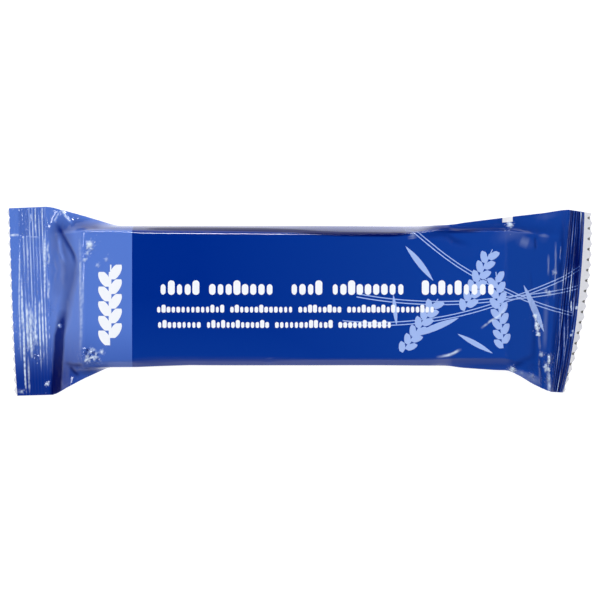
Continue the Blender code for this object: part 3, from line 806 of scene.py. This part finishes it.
artwork = [
    grain_ear(30.0, -15.5, 58.0, 6, 1.15, 2.9),
    grain_ear(47.5, -3.0, 66.0, 6, 1.2, 3.0),
    grain_ear(58.0, -14.0, 96.0, 7, 1.2, 3.0),
    leaf_blade(38.5, -9.0, 22.0, 15.0, 1.9),
    leaf_blade(34.0, 9.5, 128.0, 13.0, 1.7),
    leaf_blade(50.0, -14.0, 148.0, 12.0, 1.6),
    leaf_blade(67.5, -3.0, 118.0, 15.0, 1.9),
    leaf_blade(27.0, -4.0, 96.0, 9.0, 1.2),
    double_arc(22.0, 96.0, 104.0, 0.9, 0.28, 12.0, 81.0),
    double_arc(40.0, 128.0, 130.0, 0.9, 0.28, 16.0, 81.0),
    double_arc(88.0, 74.0, 78.0, 0.9, 0.28, 30.0, 80.0),
]
pale_print = artwork[0]
for motif in artwork[1:]:
    pale_print = add(ink, "ShaderNodeMath", {0: pale_print, 1: motif}, "MAXIMUM")
white_print = grain_ear(-54.7, -12.0, 90.0, 5, 1.55, 4.2)
for motif in (large_row, middle_row, near_row):
    white_print = add(ink, "ShaderNodeMath", {0: white_print, 1: motif}, "MAXIMUM")

# The pale mark that the wrapping machine's sensor reads, and the bare metallised film at both cuts.
eye_place = add(ink, "ShaderNodeVectorMath", {0: web_mm, 1: EYE_MARK}, "SUBTRACT")
eye_reach = add(ink, "ShaderNodeVectorMath", {0: eye_place}, "ABSOLUTE")
eye_axes = add(ink, "ShaderNodeSeparateXYZ", {0: eye_reach}).node.outputs
in_length = add(ink, "ShaderNodeMath", {0: eye_axes["X"], 1: EYE_MARK_SIZE[0] / 2}, "LESS_THAN")
in_width = add(ink, "ShaderNodeMath", {0: eye_axes["Y"], 1: EYE_MARK_SIZE[1] / 2}, "LESS_THAN")
eye_mark = add(ink, "ShaderNodeMath", {0: in_length, 1: in_width}, "MULTIPLY")
past_print = add(ink, "ShaderNodeMath", {0: along, 1: PRINT_END}, "GREATER_THAN")
before_print = add(ink, "ShaderNodeMath", {0: along, 1: PRINT_START}, "LESS_THAN")
bare = add(ink, "ShaderNodeMath", {0: past_print, 1: before_print}, "MAXIMUM")
inks = ground
layers = ((pale_print, "#A0B8EE"), (white_print, "#F2F5FC"), (eye_mark, "#F4F4F8"), (bare, "#E2E3EA"))
for layer, colour in layers:
    inks = add(ink, "ShaderNodeMix", {0: layer, 6: inks, 7: linear(colour)}, data_type="RGBA").node.outputs[2]

# Painted light: painted shade darkens the ink in deep folds and between ribs, and painted highlights pale it
# where glints fall on crests and puckers.
painted_light_attribute = add(ink, "ShaderNodeAttribute", {}, attribute_name="painted_light").node.outputs["Fac"]
shade = add(ink, "ShaderNodeMapRange", {0: painted_light_attribute, 1: 0.0, 2: -1.0})
shaded = add(
    ink, "ShaderNodeMix", {0: shade, 6: inks, 7: linear("#3F5D95")}, data_type="RGBA", blend_type="MULTIPLY"
).node.outputs[2]
crest = add(ink, "ShaderNodeMapRange", {0: painted_light_attribute, 3: 0.0, 4: 0.95})
painted_highlight = add(
    ink, "ShaderNodeMix", {0: crest, 6: shaded, 7: linear("#DCEBFF")}, data_type="RGBA"
).node.outputs[2]

# A small painted shadow at the root of each tooth of the right cut, where the gap between teeth lies in
# shade, slimmer across the pack than along it.
TOOTH_SHADOW_DEPTH = 0.95
TOOTH_SHADOW_STRETCH = 4.6
pack_place = add(ink, "ShaderNodeTexCoord", {}).node.outputs["Object"]
pack_mm = add(ink, "ShaderNodeVectorMath", {0: pack_place, 1: PER_MM}, "MULTIPLY")
pack_axes = add(ink, "ShaderNodeSeparateXYZ", {0: pack_mm}).node.outputs
pack_x, pack_y = pack_axes["X"], pack_axes["Y"]
bowed = add(ink, "ShaderNodeMath", {0: pack_y, 1: RIGHT_BOW * MM, 2: RIGHT_LEAN}, "MULTIPLY_ADD")
cut_at = add(ink, "ShaderNodeMath", {0: bowed, 1: pack_y, 2: RIGHT_CUT / MM}, "MULTIPLY_ADD")
past_cut = add(ink, "ShaderNodeMath", {0: pack_x, 1: cut_at}, "SUBTRACT")
from_root = add(ink, "ShaderNodeMath", {0: past_cut, 1: TOOTH_SHADOW_DEPTH}, "ADD")
teeth = add(ink, "ShaderNodeMath", {0: pack_y, 1: TOOTH_PITCH / MM}, "DIVIDE")
nearest_tooth = add(ink, "ShaderNodeMath", {0: teeth}, "ROUND")
off_tooth = add(ink, "ShaderNodeMath", {0: teeth, 1: nearest_tooth}, "SUBTRACT")
off_tooth_mm = add(ink, "ShaderNodeMath", {0: off_tooth, 1: TOOTH_SHADOW_STRETCH}, "MULTIPLY")
tooth_shadow_at = add(ink, "ShaderNodeCombineXYZ", {0: from_root, 1: off_tooth_mm})
tooth_shadow_reach = add(ink, "ShaderNodeVectorMath", {0: tooth_shadow_at}, "LENGTH").node.outputs["Value"]
tooth_shadow = add(ink, "ShaderNodeMapRange", {0: tooth_shadow_reach, 1: 0.45, 2: 0.7, 3: 0.9, 4: 0.0})
tooth_shadow_part = add(ink, "ShaderNodeMath", {0: tooth_shadow, 1: past_print}, "MULTIPLY")
finished = add(
    ink, "ShaderNodeMix", {0: tooth_shadow_part, 6: painted_highlight, 7: linear("#45443F")}, data_type="RGBA"
).node.outputs[2]
ink.links.new(finished, gloss_film.inputs["Base Color"])

# The film's gloss and relief: hazy patches of 2.9 mm, crepe wrinkles of 0.9 mm, and sharp facets of 0.8 mm
# where the film is creased. Real creases are finer. These are drawn coarser, so that they glint.
HAZE_PATCH = 1 / 0.35
CREPE_WRINKLE = 1 / 1.1
CREASE_FACET = 1 / 1.3
CREPE_DEPTH = 0.05 * MM
FACET_DEPTH = 0.6 * MM
haze = add(ink, "ShaderNodeTexNoise", {"Vector": web_mm, "Scale": 1 / HAZE_PATCH, "Detail": 3.0})
film_gloss = add(ink, "ShaderNodeMapRange", {0: haze, 1: 0.3, 2: 0.7, 3: 0.09, 4: 0.15})
ink.links.new(film_gloss, gloss_film.inputs["Roughness"])
wrinkles = {"Vector": web_mm, "Scale": 1 / CREPE_WRINKLE, "Detail": 4.0, "Roughness": 0.6}
creping = add(ink, "ShaderNodeTexNoise", wrinkles)
crepe = add(ink, "ShaderNodeBump", {"Height": creping, "Strength": 0.2, "Distance": CREPE_DEPTH})
crease_amount = add(ink, "ShaderNodeAttribute", {}, attribute_name="creased").node.outputs["Fac"]
shards = add(ink, "ShaderNodeTexVoronoi", {"Vector": web_mm, "Scale": 1 / CREASE_FACET, "Randomness": 1.0})
facets = {"Height": shards, "Strength": crease_amount, "Distance": FACET_DEPTH, "Normal": crepe}
sharp_creases = add(ink, "ShaderNodeBump", facets)
ink.links.new(sharp_creases, gloss_film.inputs["Normal"])
# The deepest folds, where the most shade is painted, also lose their sheen, which stands in for their shade.
sheen = add(ink, "ShaderNodeMapRange", {0: painted_light_attribute, 1: -0.55, 2: -1.0, 3: 0.5, 4: 0.05})
ink.links.new(sheen, gloss_film.inputs["Specular IOR Level"])
gloss_film.inputs["IOR"].default_value = 1.5

film_tube.data.materials.clear()
film_tube.data.materials.append(printed_film)
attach(film_tube, "root")
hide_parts("wrapper")


# The fin seam: the two long edges of the web, pressed together in a ribbed band by a pair of wheels and
# laid flat against the pack's back. It runs on through both end seals.
FIN_HALF = 5.0 * MM
FIN_LIFT = 0.22 * MM
FIN_INSET = 0.4 * MM
FIN_THICKNESS = 0.14 * MM
FIN_RIB_PITCH = 1.2 * MM
FIN_RIB_HEIGHT = 0.07 * MM
FIN_RIB_REACH = 0.86
FIN_STEP = 0.1 * MM
FIN_COLUMNS = 560
FIN_ROWS = 20

fin = bmesh.new()
bmesh.ops.create_grid(fin, x_segments=FIN_COLUMNS, y_segments=FIN_ROWS, size=1.0)
fin_spots = np.array([vert.co[:2] for vert in fin.verts])
fin_x = np.interp(fin_spots[:, 0], (-1, 1), (WEB_STATIONS[0] + FIN_INSET, WEB_STATIONS[-1] - FIN_INSET))
fin_across = fin_spots[:, 1] * FIN_HALF
fin_girth = np.where(fin_across < 0, -1.0, 1.0) * (FLAT_WIDTH - np.abs(fin_across))
fin_places = film_place(fin_x, fin_girth, np.zeros(len(fin_x)))
fin_ahead = film_place(fin_x + FIN_STEP, fin_girth, np.zeros(len(fin_x)))
fin_tilt = np.arctan2(fin_ahead[:, 2] - fin_places[:, 2], fin_ahead[:, 0] - fin_places[:, 0])
fin_ribs = FIN_RIB_HEIGHT * np.cos(2 * np.pi * fin_x / FIN_RIB_PITCH)
fin_down = FIN_LIFT + fin_ribs * (np.abs(fin_spots[:, 1]) < FIN_RIB_REACH)
fin_places[:, 0] += np.sin(fin_tilt) * fin_down
fin_places[:, 2] -= np.cos(fin_tilt) * fin_down
for vert, x, across_fin in zip(fin.verts, fin_x, fin_across):
    vert.co = (x, FLAT_WIDTH - across_fin, 0)
keep_map(fin)
for vert, place in zip(fin.verts, fin_places):
    vert.co = place
bmesh.ops.solidify(fin, geom=fin.faces[:], thickness=FIN_THICKNESS)
bmesh.ops.recalc_face_normals(fin, faces=fin.faces)
fin_seam = make_object("fin_seam", fin)
cut_ends(fin_seam)
fin_seam.data.materials.clear()
fin_seam.data.materials.append(printed_film)
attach(fin_seam, "root")
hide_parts("wrapper")


# The studio: a sweep of matt white paper under the pack, lit so brightly that shadows on it stay faint.
PAPER_DROP = 0.05 * MM
sweep_paper = bpy.data.materials.new("matt_white_paper_sweep")
sweep_paper.use_nodes = True
paper = sweep_paper.node_tree.nodes["Principled BSDF"]
paper.inputs["Base Color"].default_value = linear("#8A8A8C")
paper.inputs["Roughness"].default_value = 0.9
paper.inputs["Emission Color"].default_value = linear("#FFFFFF")
paper.inputs["Emission Strength"].default_value = 0.92
sheet = bmesh.new()
bmesh.ops.create_grid(sheet, x_segments=8, y_segments=8, size=6.0)
bmesh.ops.translate(sheet, verts=sheet.verts, vec=(0, 0, -PAPER_DROP))
studio_sweep = make_object("studio_sweep", sheet)
studio_sweep.data.materials.append(sweep_paper)


# The lights: a broad one high up on the right and a broad one in front light the film. Fine diffusers keep
# them out of every crease. A small one behind the pack and a small one on its left make the glints.
def soft_light(name, place, target, width, height, power, mirrored):
    """A rectangular soft light at a place, turned to face its target. The film mirrors it or doesn't."""
    lamp = bpy.data.lights.new(name, "AREA")
    lamp.shape = "RECTANGLE"
    lamp.size = width
    lamp.size_y = height
    lamp.energy = power
    stand = bpy.data.objects.new(name, lamp)
    stand.location = place
    stand.rotation_euler = (Vector(target) - Vector(place)).to_track_quat("-Z", "Y").to_euler()
    stand.visible_glossy = mirrored
    bpy.context.scene.collection.objects.link(stand)


soft_light("overhead_light", (0.40, 0.16, 0.90), (0, 0, 0), 0.60, 0.45, 4.2, False)
soft_light("rear_light", (-0.07, 0.92, 0.72), (-0.02, 0, 0), 0.30, 0.20, 6.8, True)
soft_light("left_light", (-0.72, 0.16, 0.86), (-0.05, 0, 0), 0.22, 0.22, 2.2, True)
soft_light("front_light", (0.0, -0.95, 0.80), (0, 0, 0), 1.10, 0.60, 4.5, False)

# The room: pale walls lit from the left and the front, dim behind and on the right, and dark straight above
# the pack, where the camera hangs and the flat top mirrors it. Its glow by height, from level to upright.
ROOM_GLOW = ((0.0, 0.6), (0.3, 0.5), (0.5, 0.12), (0.8, 0.1), (0.92, 0.08), (0.975, 0.0))
MIDDLE_GLOW = 0.4
LEFT_GLOW = 1.0
FRONT_GLOW = 0.8
LEAST_GLOW = 0.15
room = bpy.data.worlds.new("studio_room")
room.use_nodes = True
bpy.context.scene.world = room
room_nodes = room.node_tree
direction = add(room_nodes, "ShaderNodeTexCoord", {}).node.outputs["Generated"]
aims = add(room_nodes, "ShaderNodeSeparateXYZ", {0: direction}).node.outputs
walls = add(room_nodes, "ShaderNodeValToRGB", {0: aims["Z"]})
wall_steps = walls.node.color_ramp.elements
wall_steps.remove(wall_steps[1])
for height, level in ROOM_GLOW:
    step = wall_steps[0] if height == 0.0 else wall_steps.new(height)
    step.color = (level, level, level, 1)
leftward = add(room_nodes, "ShaderNodeMath", {0: aims["X"], 1: -LEFT_GLOW, 2: MIDDLE_GLOW}, "MULTIPLY_ADD")
near_left = add(room_nodes, "ShaderNodeMath", {0: aims["Y"], 1: -FRONT_GLOW, 2: leftward}, "MULTIPLY_ADD")
lit_side = add(room_nodes, "ShaderNodeMath", {0: near_left, 1: LEAST_GLOW}, "MAXIMUM")
glow = add(room_nodes, "ShaderNodeMath", {0: walls, 1: lit_side}, "MULTIPLY")
backdrop = room_nodes.nodes["Background"]
backdrop.inputs["Color"].default_value = linear("#FFFFFF")
room_nodes.links.new(glow, backdrop.inputs["Strength"])

# The camera hangs 0.7 m over the pack, level with it, and frames it as the photograph does.
camera = bpy.data.cameras.new("camera")
camera.sensor_fit = "HORIZONTAL"
camera.sensor_width = 36.0
camera.lens = 143.2
camera.clip_end = 10.0
camera_stand = bpy.data.objects.new("camera", camera)
camera_stand.location = (-0.23 * MM, 0.42 * MM, 0.7)
bpy.context.scene.collection.objects.link(camera_stand)
bpy.context.scene.camera = camera_stand
bpy.context.scene.view_settings.view_transform = "Standard"
